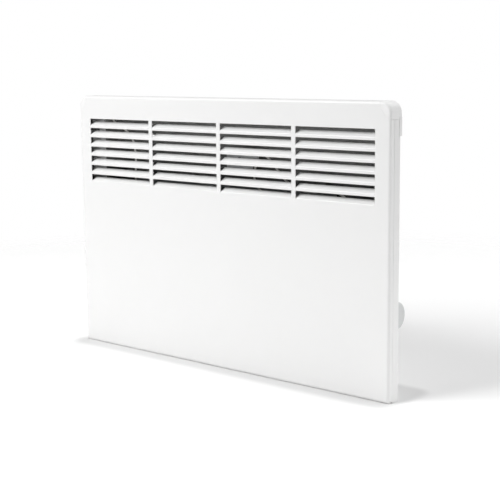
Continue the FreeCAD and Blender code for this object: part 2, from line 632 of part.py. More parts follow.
def switch_body():
    """The mains switch: a case behind the wall and a bezel in front of the control plate."""
    x0 = BOX_HALF_WIDTH - 18
    x1 = BOX_HALF_WIDTH + PLATE_THICK + 0.1
    half_y = SWITCH_WIDTH / 2 - 0.1
    half_z = SWITCH_LENGTH / 2 - 0.1
    case = block(x0, x1, SWITCH_Y - half_y, SWITCH_Y + half_y, SWITCH_Z - half_z, SWITCH_Z + half_z)
    bezel = block(x1, x1 + 1.6, SWITCH_Y - half_y - 1.2, SWITCH_Y + half_y + 1.2,
                  SWITCH_Z - half_z - 1.4, SWITCH_Z + half_z + 1.4)
    bezel = bezel.makeFillet(0.8, edges_at(bezel, x=x1 + 1.6))
    well = block(x1 - 7, x1 + 3, SWITCH_Y - half_y + 1, SWITCH_Y + half_y - 1,
                 SWITCH_Z - half_z + 1, SWITCH_Z + half_z - 1)
    tabs = [block(x0 - 7, x0, SWITCH_Y - 2.4, SWITCH_Y + 2.4, z - 0.4, z + 0.4)
            for z in (SWITCH_Z - 5, SWITCH_Z + 5)]
    pin = rod(1.0, SWITCH_WIDTH - 1, (x1 - 1.0, SWITCH_Y - SWITCH_WIDTH / 2 + 0.5, SWITCH_Z), Y_AXIS)
    return case.fuse([bezel] + tabs).cut(well).fuse(pin)


def switch_rocker():
    """The rocker of the mains switch, resting in its off position on a cross pin."""
    x1 = BOX_HALF_WIDTH + PLATE_THICK + 0.1
    half_y = SWITCH_WIDTH / 2 - 1.5
    pivot_x = x1 - 1.0
    half = 7.6
    section = [(pivot_x - 3.4, -2.2), (pivot_x - 1.2, -half), (pivot_x + 1.9, -half), (pivot_x + 1.3, -half / 2),
               (pivot_x + 1.1, 0), (pivot_x + 1.3, half / 2), (pivot_x + 1.9, half), (pivot_x - 1.2, half),
               (pivot_x - 3.4, 2.2)]
    points = [(x, SWITCH_Y - half_y, SWITCH_Z + z) for x, z in section]
    rocker = polygon_prism(points, Y_AXIS, 2 * half_y)
    rocker = rocker.fuse(rod(2.1, 2 * half_y, (pivot_x, SWITCH_Y - half_y, SWITCH_Z), Y_AXIS))
    rocker = rocker.cut(rod(1.0 + RUNNING_CLEARANCE, 2 * half_y + 2, (pivot_x, SWITCH_Y - half_y - 1, SWITCH_Z), Y_AXIS))
    rocker.rotate(Vector(pivot_x, SWITCH_Y, SWITCH_Z), Y_AXIS, ROCKER_TILT)
    return rocker


def terminal_block():
    """The three-way terminal block on the rear wall of the bay."""
    y1 = BACK - SHEET - 0.1
    block_x = 206.0
    body = block(block_x, block_x + 30, y1 - 15, y1, 30, 46)
    wire_holes = [rod(2.0, 20, (block_x + 5 + 10 * way, y1 - 6, 28), Z_AXIS) for way in range(3)]
    screw_wells = [rod(1.9, 5.5, (block_x + 5 + 10 * way, y1 - 16, z), Y_AXIS) for way in range(3) for z in (34, 42)]
    return body.cut(wire_holes + screw_wells)


def terminal_screws():
    """The clamping screws of the terminal block."""
    y1 = BACK - SHEET - 0.1
    screws = [rod(1.7, 3.4, (211.0 + 10 * way, y1 - 15 + 0.6, z), Y_AXIS) for way in range(3) for z in (34, 42)]
    return group(screws)


def earth_screw():
    """The earth screw and washer on the bay's rear wall."""
    y = BACK - SHEET - 0.1
    washer = rod(4.5, 1.0, (248.0, y - 1.0, 66.0), Y_AXIS)
    return washer.fuse(pan_screw((248.0, y - 1.0, 66.0), Y_AXIS, shank=1.0))


def hexagon(across, x, length, y, z):
    """A hexagonal prism along X."""
    radius = across / math.sqrt(3)
    corners = []
    for corner in range(6):
        turn = math.radians(60 * corner + 30)
        corners.append((x, y + radius * math.cos(turn), z + radius * math.sin(turn)))
    return polygon_prism(corners, X_AXIS, length)


def cable_gland():
    """The cable gland in the right wall: an outer hexagon and a threaded stem through the sheet."""
    x = BOX_HALF_WIDTH + 0.05
    stem = rod(6.0, 14, (x - 9, GLAND_Y, GLAND_Z), X_AXIS)
    collar = hexagon(16, x, 4, GLAND_Y, GLAND_Z)
    return stem.fuse(collar).cut(rod(CABLE_RADIUS, 40, (x - 20, GLAND_Y, GLAND_Z), X_AXIS))


def gland_nut():
    """The domed sealing nut on the outside of the gland."""
    x = BOX_HALF_WIDTH + 4.2
    nut = hexagon(15, x, 6, GLAND_Y, GLAND_Z).fuse(rod(6.6, 9, (x, GLAND_Y, GLAND_Z), X_AXIS))
    nut = nut.cut(rod(6.05, 1.6, (x - 0.1, GLAND_Y, GLAND_Z), X_AXIS))
    return nut.cut(rod(CABLE_RADIUS, 40, (x - 20, GLAND_Y, GLAND_Z), X_AXIS))


def gland_lock_nut():
    """The flat nut that locks the gland from inside."""
    x = BOX_HALF_WIDTH - SHEET - 3.1
    return hexagon(16, x, 3, GLAND_Y, GLAND_Z).cut(rod(6.05, 10, (x - 2, GLAND_Y, GLAND_Z), X_AXIS))


# ---- fastenings ----
def panel_screw_places():
    """Where the tray's back flange is screwed to the front cover's posts, as (x, z)."""
    half = (WIDTH / 2 + BOX_HALF_WIDTH) / 2
    return [(side * half, z) for side in (-1, 1) for z in (24.0, 182.0, 330.0)]


def panel_posts():
    """Folded posts spot-welded inside the front cover that take the casing screws."""
    y0 = FRONT + SHEET + 0.05
    y1 = FRONT + TRAY_DEPTH - SHEET - 0.1
    posts = []
    for x, z in panel_screw_places():
        foot = block(x - 5, x + 5, y0, y0 + SHEET, z - 8, z + 8)
        stem = block(x - 5, x + 5, y0, y1, z - 5, z + 5).cut(block(x - 4, x + 4, y0 + SHEET, y1 - SHEET, z - 6, z + 6))
        posts.append(foot.fuse(stem).cut(rod(SCREW_RADIUS, 6, (x, y1 - 4, z), Y_AXIS)))
    return group(posts)


def panel_screws():
    """The screws that join the rear casing to the front cover."""
    y = FRONT + TRAY_DEPTH + 0.05
    return group([pan_screw((x, y, z), Y_AXIS * -1, shank=7.0) for x, z in panel_screw_places()])


# ---- internal leads ----
def lead_routes():
    """The route of each internal lead, as hand-laid points."""
    return {
        "lead_supply_live": [(211, 25.5, 47), (212, 20, 70), (222, 13, 120), (229, 11.5, 150), (233, 11.5, 160)],
        "lead_switch_thermostat": [(233, 11.5, 170), (222, 8, 178), (214, 2, 150), (222, 2, 128), (229, 3.5, 121)],
        "lead_thermostat_cutout": [(229, 17.5, 121), (208, 20, 150), (200, 18, 200), (198, 16, 240), (186, 14, 258),
                                   (150, 12, 262), (110, 11, 264), (87, 10, 276), (69, 12, 292), (40, 19, 309),
                                   (12, 22, 313), (-2, 24, 309), (-4, 25, 303)],
        "lead_cutout_element": [(6, 25, 303), (14, 25, 304), (25, 20, 300), (30, 13, 290), (30, 12, 270),
                                (42, 13, 256), (90, 17, 251), (150, 18, 248), (172, 16, 220), (178, 10, 150),
                                (181, 6, 100), (182, 5, 82)],
        "lead_element_return": [(-250, 5, 82), (-252, 3, 110), (-240, -2, 150), (-212, -4, 190), (-200, -5, 230),
                                (-198, -5, 270), (-198, -5, 305), (-204, -5, 324), (-219, -5, 337), (-238, -5, 346),
                                (-246, -5, 353), (-238, -4, 359), (-222, -4, 361), (-190, -4, 361), (-120, -3, 361),
                                (0, -3, 361), (120, -3, 361), (200, -3, 361), (232, -3, 360), (247, -3, 353),
                                (253, -3, 338), (253.5, -3, 300), (252, -3, 250), (244, -3, 218), (226, -4, 196),
                                (208, -4, 172), (202, -3, 140), (206, 4, 100), (220, 20, 60), (221, 25.5, 47)],
        "lead_earth": [(231, 25.5, 47), (235, 23, 56), (243, 24, 61)],
    }


def build_all():
    """Every node of the heater, by name."""
    nodes = {
        "front_panel": front_panel(),
        "casing_frame": casing_frame(),
        "rear_panel": rear_panel(),
        "end_plate_left": end_plate(-1),
        "end_plate_right": end_plate(1),
        "corner_cap_left": corner_cap(-1),
        "corner_cap_right": corner_cap(1),
        "air_deflector": air_deflector(),
        "bottom_stays": bottom_stays(),
        "rear_shield": heat_shield(BACK - 5.5, 30.0, 262.0, 4.3),
        "front_shield": heat_shield(FRONT + 10.5, 40.0, 150.0, -6.0),
        "element_tube": element_tube(),
        "element_fins": element_fins(),
        "element_bush_left": element_bush(-1),
        "element_bush_right": element_bush(1),
        "element_bracket_left": element_bracket(-1),
        "element_bracket_right": element_bracket(1),
        "bracket_screws": bracket_screws(),
        "cutout_plate": cutout_plate(),
        "thermal_cutout": thermal_cutout(),
        "cutout_screws": cutout_screws(),
        "bay_partition": bay_partition(),
        "control_plate": control_plate(),
        "plate_screws": plate_screws(),
        "thermostat_body": thermostat_body(),
        "thermostat_nut": thermostat_nut(),
        "thermostat_shaft": thermostat_shaft(),
        "thermostat_knob": thermostat_knob(),
        "sensor_bulb": sensor_bulb(),
        "sensor_capillary": sensor_capillary(),
        "bulb_clips": bulb_clips(),
        "switch_body": switch_body(),
        "switch_rocker": switch_rocker(),
        "terminal_block": terminal_block(),
        "terminal_screws": terminal_screws(),
        "earth_screw": earth_screw(),
        "cable_gland": cable_gland(),
        "gland_nut": gland_nut(),
        "gland_lock_nut": gland_lock_nut(),
        "panel_posts": panel_posts(),
        "panel_screws": panel_screws(),
    }
    for name, route in lead_routes().items():
        nodes[name] = lead(route)
    return nodes


def main():
    """Write one STEP file for each node."""
    os.makedirs("parts", exist_ok=True)
    for name, shape in build_all().items():
        shape.exportStep(os.path.join("parts", name + ".step"))


main()
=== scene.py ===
import json
import math

import bpy
import numpy as np
from mathutils import Matrix, Vector


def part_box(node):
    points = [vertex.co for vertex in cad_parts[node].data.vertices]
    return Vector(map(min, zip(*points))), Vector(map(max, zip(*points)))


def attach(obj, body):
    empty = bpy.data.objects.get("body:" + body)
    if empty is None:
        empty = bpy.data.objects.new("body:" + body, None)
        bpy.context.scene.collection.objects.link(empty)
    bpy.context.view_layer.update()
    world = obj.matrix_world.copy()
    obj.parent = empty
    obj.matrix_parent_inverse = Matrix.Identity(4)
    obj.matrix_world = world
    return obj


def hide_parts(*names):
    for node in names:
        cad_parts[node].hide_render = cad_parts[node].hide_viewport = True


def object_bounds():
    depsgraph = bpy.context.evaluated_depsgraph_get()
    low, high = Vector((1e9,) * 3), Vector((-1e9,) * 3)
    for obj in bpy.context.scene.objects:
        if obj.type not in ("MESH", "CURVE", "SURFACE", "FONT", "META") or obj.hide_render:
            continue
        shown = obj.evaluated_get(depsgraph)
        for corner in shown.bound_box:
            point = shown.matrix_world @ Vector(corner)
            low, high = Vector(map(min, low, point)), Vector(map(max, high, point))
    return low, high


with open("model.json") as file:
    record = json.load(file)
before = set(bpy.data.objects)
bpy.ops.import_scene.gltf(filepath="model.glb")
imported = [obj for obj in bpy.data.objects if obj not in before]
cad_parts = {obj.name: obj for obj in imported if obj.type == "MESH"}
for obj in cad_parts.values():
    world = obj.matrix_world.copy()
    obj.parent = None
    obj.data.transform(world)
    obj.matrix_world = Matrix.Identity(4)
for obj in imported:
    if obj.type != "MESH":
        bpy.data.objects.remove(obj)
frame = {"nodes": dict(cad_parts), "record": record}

CAD_LOW, CAD_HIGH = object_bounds()
MIDDLE = (CAD_LOW + CAD_HIGH) / 2
MM = 0.001

# ---- enamel and floor: metres, or a tone from 0 to 1 ----
WHITE = (0.775, 0.775, 0.772)
# painted light: a lighter tone on the louvres' blades behind the front face, inside the grille
RECESS_PAINTED_LIGHT = (0.90, 0.90, 0.897)
# painted shade: dark tones on the casing's inner faces, darker towards the bottom
INNER_PAINTED_SHADE_LOW = (0.05, 0.05, 0.048)
INNER_PAINTED_SHADE_HIGH = (0.34, 0.34, 0.33)
INNER_FROM = 0.24
INNER_TO = 0.36
INNER_FACING = -0.015
RECESS_FROM = CAD_LOW.y + 0.3 * MM
RECESS_TO = CAD_LOW.y + 1.2 * MM
GRILLE_HALF = 0.272
GRILLE_LOW = 0.250
GRILLE_HIGH = 0.358
FOOT_INSET = 0.012
# painted contact shadow on the floor close round the casing's foot
CONTACT_CORE = 0.014
CONTACT_REACH = 0.034
CONTACT_SHADE = 0.20
FLOOR_CLEAR = 0.8
FLOOR_RADIUS = 1.4
FLOOR_AROUND = 96
FLOOR_RINGS = 40

# ---- knob, dial and switch ----
KNOB_RIM = 1.8 * MM
KNOB_AROUND = 240
KNOB_FLUTES = 30
FLUTE_DEPTH = 0.9 * MM
KNOB_DISH = 0.7 * MM
KNOB_POINTER_TURN = math.radians(135.0)
POINTER_START = 5 * MM
POINTER_END_GAP = 2.6 * MM
DIAL_REACH = math.radians(44.0)
DIAL_GAP = 3.4 * MM
ROCKER_TILT = math.radians(9.0)
ROCKER_SLOPE = 0.158
PIVOT_X = 0.2611
PIVOT_Z = 0.165
MARK_PLACE = 4.6 * MM
MARK_RISE = 1.43 * MM
MARK_SIZE = 1.5 * MM

# ---- lights and camera ----
WORLD_LIGHT = 0.13
KEY_POWER = 70.0
KEY_PLACE = (-1.0, -1.8, 1.75)
BACK_POWER = 138.0
BACK_PLACE = (0.6, 2.6, 3.4)
SIDE_POWER = 33.0
SIDE_PLACE = (2.9, 0.5, 0.55)
CAMERA_PLACE = (1.1227, -1.2536, 0.4393)
CAMERA_TURN = math.radians(41.085)
CAMERA_TILT = math.radians(-9.116)
CAMERA_ROLL = math.radians(-0.54)
CAMERA_LENS = 84.64


# ---- shader maths ----
class Value:
    """A shader number that adds its Math nodes when it meets an operator."""

    def __init__(self, finish, socket):
        self.finish = finish
        self.socket = socket

    def _math(self, operation, first, second=None):
        inputs = {0: first} if second is None else {0: first, 1: second}
        return self.finish.node("ShaderNodeMath", {"operation": operation}, inputs)

    def __add__(self, other):
        return self._math("ADD", self, other)

    __radd__ = __add__

    def __sub__(self, other):
        return self._math("SUBTRACT", self, other)

    def __rsub__(self, other):
        return self._math("SUBTRACT", other, self)

    def __mul__(self, other):
        return self._math("MULTIPLY", self, other)

    __rmul__ = __mul__

    def __pow__(self, other):
        return self._math("POWER", self, other)

    def above(self, level):
        """1 where the value is over a level, else 0."""
        return self._math("GREATER_THAN", self, level)

    def below(self, level):
        """1 where the value is under a level, else 0."""
        return self._math("LESS_THAN", self, level)

    def over(self, level):
        """The value, held at a level or above."""
        return self._math("MAXIMUM", self, level)

    def wave(self):
        """The sine of the value."""
        return self._math("SINE", self)

    def size(self):
        """The value without its sign."""
        return self._math("ABSOLUTE", self)


class Finish:
    """One procedural material, built round a Principled shader."""

    def __init__(self, name, **constants):
        self.material = bpy.data.materials.new(name)
        self.material.use_nodes = True
        self.tree = self.material.node_tree
        self.shader = self.tree.nodes["Principled BSDF"]
        for socket, value in constants.items():
            self.shader.inputs[socket.replace("_", " ")].default_value = value
        coordinates = self.tree.nodes.new("ShaderNodeTexCoord")
        self.place = Value(self, coordinates.outputs["Object"])
        self.facing = Value(self, coordinates.outputs["Normal"])

    def node(self, kind, settings=None, inputs=None, output=0):
        """Adds a node: its settings first, then its sockets' values or links. Returns one output."""
        made = self.tree.nodes.new(kind)
        for key, value in (settings or {}).items():
            setattr(made, key, value)
        for key, value in (inputs or {}).items():
            if isinstance(value, Value):
                self.tree.links.new(value.socket, made.inputs[key])
            else:
                made.inputs[key].default_value = value
        return Value(self, made.outputs[output])

    def feed(self, socket, value):
        """Links a value to one of the shader's sockets."""
        self.tree.links.new(value.socket, self.shader.inputs[socket])

    def noise(self, scale, detail=2.0, roughness=0.5, vector=None):
        """Soft noise, where scale is in waves per metre."""
        return self.node("ShaderNodeTexNoise", None, {
            "Vector": vector or self.place, "Scale": scale, "Detail": detail, "Roughness": roughness})

    def cells(self, scale, vector=None):
        """Distance to the nearest of many scattered points."""
        return self.node("ShaderNodeTexVoronoi", None, {"Vector": vector or self.place, "Scale": scale})

    def stretched(self, x, y, z):
        """The piece's coordinates, scaled along each axis."""
        return self.node("ShaderNodeMapping", None, {"Vector": self.place, "Scale": (x, y, z)})

    def axis(self, index, vector=None):
        """One component of a vector: 0, 1 or 2."""
        return self.node("ShaderNodeSeparateXYZ", None, {0: vector or self.place}, index)

    def blend(self, factor, first, second):
        """A mix of two colours."""
        return self.node("ShaderNodeMix", {"data_type": "RGBA"}, {
            0: factor, 6: colour(first), 7: colour(second)}, 2)

    def spread(self, value, low, high, out_low, out_high):
        """The value carried from one range to another and held inside it."""
        return self.node("ShaderNodeMapRange", None, {0: value, 1: low, 2: high, 3: out_low, 4: out_high})

    def bump(self, height, distance, strength=1.0):
        """Raises the surface by a height times a distance in metres."""
        self.feed("Normal", self.node("ShaderNodeBump", None, {
            "Height": height, "Distance": distance, "Strength": strength}))

    def inside(self):
        """1 on faces that look well inwards, towards the middle of the casing, else 0."""
        outward = self.node("ShaderNodeVectorMath", {"operation": "SUBTRACT"}, {
            0: self.place, 1: tuple(MIDDLE)})
        product = self.node("ShaderNodeVectorMath", {"operation": "DOT_PRODUCT"},
                            {0: outward, 1: self.facing}, "Value")
        return product.below(INNER_FACING)


def colour(value):
    """A colour with its alpha, or the value itself where it is a link."""
    return value if isinstance(value, Value) else (*value[:3], 1.0)


# ---- finishes ----
def powder_coat(name, light, recess_painted_light=None, inner_painted_shade_low=None, inner_painted_shade_high=None):
    """White powder coat on sheet steel: an orange-peel skin and faint clouding.

    A painted-light tone lightens the louvres' blades where they lie behind the front face, and only inside
    the grille:
    painted light for the light that the deep folds lose to their own shade. With inner tones given, the faces
    that look into the casing are painted dark, darker towards the bottom: painted shade of the dim inside.
    """
    finish = Finish(name, IOR=1.5, Coat_Roughness=0.25)
    peel = finish.noise(1100.0, 2.0) * 0.65 + finish.noise(3100.0, 1.0) * 0.35
    cloud = finish.noise(9.0, 3.0)
    tone = finish.blend(cloud, light, [channel * 0.985 for channel in light])
    # painted light: the blades behind the front face, inside the grille, get the lighter tone
    if recess_painted_light:
        depth = finish.spread(finish.axis(1), RECESS_FROM, RECESS_TO, 0.0, 1.0)
        height = finish.axis(2)
        beside = finish.axis(0).size().below(GRILLE_HALF)
        grille = beside * height.above(GRILLE_LOW) * height.below(GRILLE_HIGH)
        tone = finish.blend(depth * grille, tone, recess_painted_light)
    # painted shade: faces that look into the casing get a dark tone, darker towards the bottom
    if inner_painted_shade_low:
        height = finish.spread(finish.axis(2), INNER_FROM, INNER_TO, 0.0, 1.0)
        painted_shade = finish.blend(height, inner_painted_shade_low, inner_painted_shade_high)
        painted_shade = finish.blend(finish.noise(40.0, 3.0) * 0.5, painted_shade, inner_painted_shade_low)
        tone = finish.blend(finish.inside(), tone, painted_shade)
    finish.feed("Base Color", tone)
    finish.feed("Roughness", finish.spread(cloud + finish.noise(400.0) * 0.3, 0.3, 1.0, 0.36, 0.46))
    finish.feed("Coat Weight", finish.spread(finish.noise(60.0), 0.3, 0.7, 0.10, 0.18))
    finish.bump(peel, 0.00003, 0.5)
    return finish.material


def moulded_plastic(name, base, grain=1400.0, rough=0.42):
    """Moulded plastic: fine spark-eroded grain and a soft tone change."""
    finish = Finish(name, IOR=1.47)
    cloud = finish.noise(25.0, 2.0)
    finish.feed("Base Color", finish.blend(cloud, base, [channel * 0.96 for channel in base]))
    grain_height = finish.cells(grain) * 0.6 + finish.noise(grain * 2.2) * 0.4
    finish.feed("Roughness", finish.spread(grain_height, 0.2, 0.8, rough - 0.05, rough + 0.08))
    finish.bump(grain_height, 0.00002, 0.6)
    return finish.material


def rolled_sheet(name, base, along=(6.0, 900.0, 900.0), rough=0.32):
    """Bright rolled metal: drawn streaks along the sheet, small scuffs and a stained tone."""
    finish = Finish(name, Metallic=1.0)
    streaks = finish.noise(1.0, 3.0, 0.6, finish.stretched(*along))
    stain = finish.noise(14.0, 4.0, 0.6)
    finish.feed("Base Color", finish.blend(stain, base, [channel * 0.72 for channel in base]))
    finish.feed("Roughness", finish.spread(streaks * 0.6 + stain * 0.4, 0.3, 0.7, rough - 0.08, rough + 0.14))
    finish.bump(streaks, 0.00001, 0.6)
    return finish.material


def plated_steel(name, base, rough=0.28):
    """Zinc-plated or drawn steel: crystalline patches and fine scratches."""
    finish = Finish(name, Metallic=1.0)
    patches = finish.cells(500.0)
    scratches = finish.noise(1.0, 2.0, 0.6, finish.stretched(3000.0, 500.0, 500.0))
    finish.feed("Base Color", finish.blend(patches, base, [channel * 0.8 for channel in base]))
    finish.feed("Roughness", finish.spread(patches + scratches * 0.5, 0.2, 1.1, rough - 0.06, rough + 0.16))
    finish.bump(scratches, 0.000008, 0.5)
    return finish.material


def fired_ceramic(name, base):
    """Unglazed fired ceramic: chalky grain with small specks."""
    finish = Finish(name, IOR=1.55)
    specks = finish.cells(1800.0).below(0.18)
    cloud = finish.noise(90.0, 4.0)
    body = finish.blend(cloud, base, [channel * 0.88 for channel in base])
    finish.feed("Base Color", finish.blend(specks * 0.35, body, (0.45, 0.38, 0.30)))
    finish.feed("Roughness", finish.spread(cloud, 0.3, 0.7, 0.72, 0.9))
    finish.bump(finish.noise(2200.0, 3.0), 0.00004, 0.7)
    return finish.material


def wire_sheath(name, base, stripe=None):
    """A wire's soft sheath: matt, slightly dusty, with an optional stripe round it."""
    finish = Finish(name, IOR=1.45, Sheen_Weight=0.15)
    cloud = finish.noise(160.0, 3.0)
    tone = finish.blend(cloud, base, [channel * 0.86 for channel in base])
    if stripe:
        band = finish.axis(2) * 500.0 + finish.axis(0) * 900.0
        tone = finish.blend(band.wave().above(0.35), tone, stripe)
    finish.feed("Base Color", tone)
    finish.feed("Roughness", finish.spread(cloud, 0.3, 0.7, 0.5, 0.66))
    finish.bump(finish.noise(2600.0, 2.0), 0.00002, 0.5)
    return finish.material


def floor_paper(name):
    """The pale floor: paper with a very fine tooth.

    A painted contact shadow lies close round the casing's foot: an S-curve of the distance from it. The rim
    fades away into the white of the room.
    """
    finish = Finish(name, Roughness=0.9)
    tooth = finish.noise(700.0, 2.0)
    paper = finish.blend(tooth, (0.97, 0.97, 0.97), (0.94, 0.94, 0.94))
    beside = (finish.axis(0) - MIDDLE.x).size() - (CAD_HIGH.x - MIDDLE.x - FOOT_INSET)
    before = (finish.axis(1) - MIDDLE.y).size() - (CAD_HIGH.y - MIDDLE.y)
    gap = (beside.over(0.0) ** 2 + before.over(0.0) ** 2) ** 0.5
    contact = finish.spread(gap, CONTACT_CORE, CONTACT_REACH, 1.0, 0.0)
    shade = contact * contact * (3.0 - 2.0 * contact) * CONTACT_SHADE
    finish.feed("Base Color", finish.blend(shade, paper, (0.0, 0.0, 0.0)))
    distance = (finish.axis(0) ** 2 + finish.axis(1) ** 2) ** 0.5
    finish.feed("Alpha", finish.spread(distance, FLOOR_CLEAR, FLOOR_RADIUS, 1.0, 0.0))
    return finish.material


def make_finishes():
    """Every finish of the record's material slots."""
    return {
        "white_enamel": powder_coat("white_enamel", WHITE),
        # painted light on the louvres' blades
        "front_enamel": powder_coat("front_enamel", WHITE, RECESS_PAINTED_LIGHT),
        # painted shade on the faces inside the casing
        "casing_enamel": powder_coat("casing_enamel", WHITE, None, INNER_PAINTED_SHADE_LOW, INNER_PAINTED_SHADE_HIGH),
        "white_plastic": moulded_plastic("white_plastic", (0.80, 0.80, 0.797)),
        "bright_sheet": rolled_sheet("bright_sheet", (0.62, 0.63, 0.64)),
        "steel": plated_steel("steel", (0.50, 0.50, 0.51), 0.34),
        "fin_aluminium": rolled_sheet("fin_aluminium", (0.74, 0.75, 0.77), (900.0, 20.0, 900.0), 0.3),
        "ceramic": fired_ceramic("ceramic", (0.80, 0.76, 0.68)),
        "zinc_screw": plated_steel("zinc_screw", (0.66, 0.67, 0.70), 0.24),
        "black_phenolic": moulded_plastic("black_phenolic", (0.05, 0.045, 0.04), 900.0, 0.4),
        "grey_plastic": moulded_plastic("grey_plastic", (0.60, 0.61, 0.61), 1500.0, 0.44),
        "copper": plated_steel("copper", (0.72, 0.40, 0.26), 0.3),
        "black_plastic": moulded_plastic("black_plastic", (0.03, 0.03, 0.033), 2400.0, 0.22),
        "brass": plated_steel("brass", (0.74, 0.58, 0.30), 0.26),
        "brown_lead": wire_sheath("brown_lead", (0.20, 0.10, 0.05)),
        "white_lead": wire_sheath("white_lead", (0.80, 0.79, 0.75)),
        "green_lead": wire_sheath("green_lead", (0.12, 0.40, 0.08), (0.75, 0.70, 0.08)),
    }


OWN_FINISHES = {
    "front_panel": "front_enamel",
    "casing_frame": "casing_enamel",
    "rear_panel": "casing_enamel",
    "end_plate_left": "casing_enamel",
    "end_plate_right": "casing_enamel",
    "bay_partition": "casing_enamel",
}


def dress_cad(finishes):
    """Gives each CAD node its own finish, or the finish of its slot."""
    slots = {part["node"]: part["material_slot"] for part in frame["record"]["subparts"]}
    for name, node in frame["nodes"].items():
        node.data.materials.clear()
        node.data.materials.append(finishes[OWN_FINISHES.get(name, slots[name])])


# ---- new pieces ----
def loft(rings):
    """A closed skin through rings of points: a fan on the middle of the first and last ring closes an end."""
    count, around = rings.shape[:2]
    points = np.concatenate([rings.reshape(-1, 3), rings[[0, -1]].mean(axis=1)])
    row, column = np.meshgrid(np.arange(count - 1), np.arange(around), indexing="ij")
    here = row * around + column
    beside = row * around + (column + 1) % around
    quads = np.stack([here, beside, beside + around, here + around], axis=-1).reshape(-1, 4)
    column = np.arange(around)
    after = (column + 1) % around
    last = (count - 1) * around
    start = np.stack([after, column, np.full(around, count * around)], axis=-1)
    end = np.stack([last + column, last + after, np.full(around, count * around + 1)], axis=-1)
    triangles = np.concatenate([quads[:, [0, 1, 2]], quads[:, [0, 2, 3]], start, end])
    corners = points[triangles]
    volume = np.einsum("ij,ij->i", corners[:, 0], np.cross(corners[:, 1], corners[:, 2])).sum()
    faces = quads.tolist() + start.tolist() + end.tolist()
    if volume < 0:
        faces = [face[::-1] for face in faces]
    return points, faces


def join(skins):
    """Several closed skins as one list of points and faces."""
    points = []
    faces = []
    offset = 0
    for skin_points, skin_faces in skins:
        points.append(skin_points)
        faces += [[index + offset for index in face] for face in skin_faces]
        offset += len(skin_points)
    return np.concatenate(points), faces


def add_piece(name, skin, body, finish, replaced=()):
    """Puts a skin into the scene as a piece that rides on a body."""
    points, faces = skin
    mesh = bpy.data.meshes.new(name)
    mesh.from_pydata(points.tolist(), [], faces)
    mesh.materials.append(finish)
    mesh.shade_smooth()
    piece = bpy.data.objects.new(name, mesh)
    bpy.context.scene.collection.objects.link(piece)
    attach(piece, body)
    if replaced:
        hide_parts(*replaced)
    return piece


def smooth_step(value):
    """0 below 0, 1 above 1 and an S-curve between."""
    held = np.clip(value, 0.0, 1.0)
    return held * held * (3 - 2 * held)


def rounded_profile(radius, length, rim, steps=7):
    """(outward, along) points from the hub of one face, round its rim, to the hub of the other face."""
    turn = np.linspace(0, math.pi / 2, steps)
    front_out = radius - rim + rim * np.sin(turn)
    front_along = length - rim + rim * np.cos(turn)
    face = np.linspace(0.06, 0.97, 14)[:, None] * [radius - rim, 0.0] + [0.0, length]
    side = np.stack([np.full(10, radius), np.linspace(length - rim, 0.0, 12)[1:-1]], axis=-1)
    back = np.array([[radius - 0.4 * MM, 0.0], [radius * 0.5, 0.0], [radius * 0.1, 0.0]])
    return np.concatenate([face, np.stack([front_out, front_along], axis=-1), side, back])


def turned_rings(profile, axis_point, around, flutes, flute_depth, dish):
    """A profile turned about an X axis.

    The side wall sinks by flute_depth times the cube of a raised cosine of the angle, fading in over the
    2.5 mm behind the face. The face sinks by dish times an S-curve that starts at 0.86 of the radius.
    """
    out = profile[:, 0][:, None]
    along = profile[:, 1][:, None]
    angle = np.linspace(0, 2 * math.pi, around, endpoint=False)[None, :]
    radius = out.max()
    length = along.max()
    wall = smooth_step((out / radius - 0.93) / 0.06) * smooth_step((length - along) / (2.5 * MM))
    groove = (0.5 + 0.5 * np.cos(flutes * angle)) ** 3
    out = out - flute_depth * wall * groove
    hollow = dish * smooth_step((0.86 * radius - out) / (0.25 * radius)) * (along > 0.9 * length)
    x = axis_point[0] + along - hollow + 0 * angle
    y = axis_point[1] + out * np.cos(angle)
    z = axis_point[2] + out * np.sin(angle)
    return np.stack([x, y, z], axis=-1)


def bar_rings(start, end, across, up, half_width, half_height, taper=None, around=20, steps=26, power=0.45):
    """A softly squared bar carried along a straight path: each section is a superellipse.

    The sections shrink to the ends as a rounded cap, and taper scales the width along the path.
    """
    start, end = np.array(start, float), np.array(end, float)
    place = np.linspace(-1, 1, steps)
    cap = (1 - np.abs(place) ** 8) ** 0.5 * 0.98 + 0.02
    width = half_width * cap * (np.ones(steps) if taper is None else np.interp(place, [-1, 1], taper))
    angle = np.linspace(0, 2 * math.pi, around, endpoint=False)
    wide = np.sign(np.cos(angle)) * np.abs(np.cos(angle)) ** power
    high = np.sign(np.sin(angle)) * np.abs(np.sin(angle)) ** power
    middle = start + (end - start) * ((place + 1) / 2)[:, None]
    return (middle[:, None, :] + (width[:, None] * wide)[..., None] * np.array(across, float)
            + (half_height * cap[:, None] * high)[..., None] * np.array(up, float))


def arc_rings(centre, radius, angles, half_widths, half_height, around=12):
    """A bead along an arc about an X axis: an elliptical section, as wide as half_widths at each angle."""
    angle = np.array(angles)
    section = np.linspace(0, 2 * math.pi, around, endpoint=False)
    reach = radius + np.outer(half_widths, np.cos(section))
    x = centre[0] + half_height * np.sin(section)[None, :] + 0 * reach
    y = centre[1] - reach * np.sin(angle)[:, None]
    z = centre[2] + reach * np.cos(angle)[:, None]
    return np.stack([x, y, z], axis=-1)


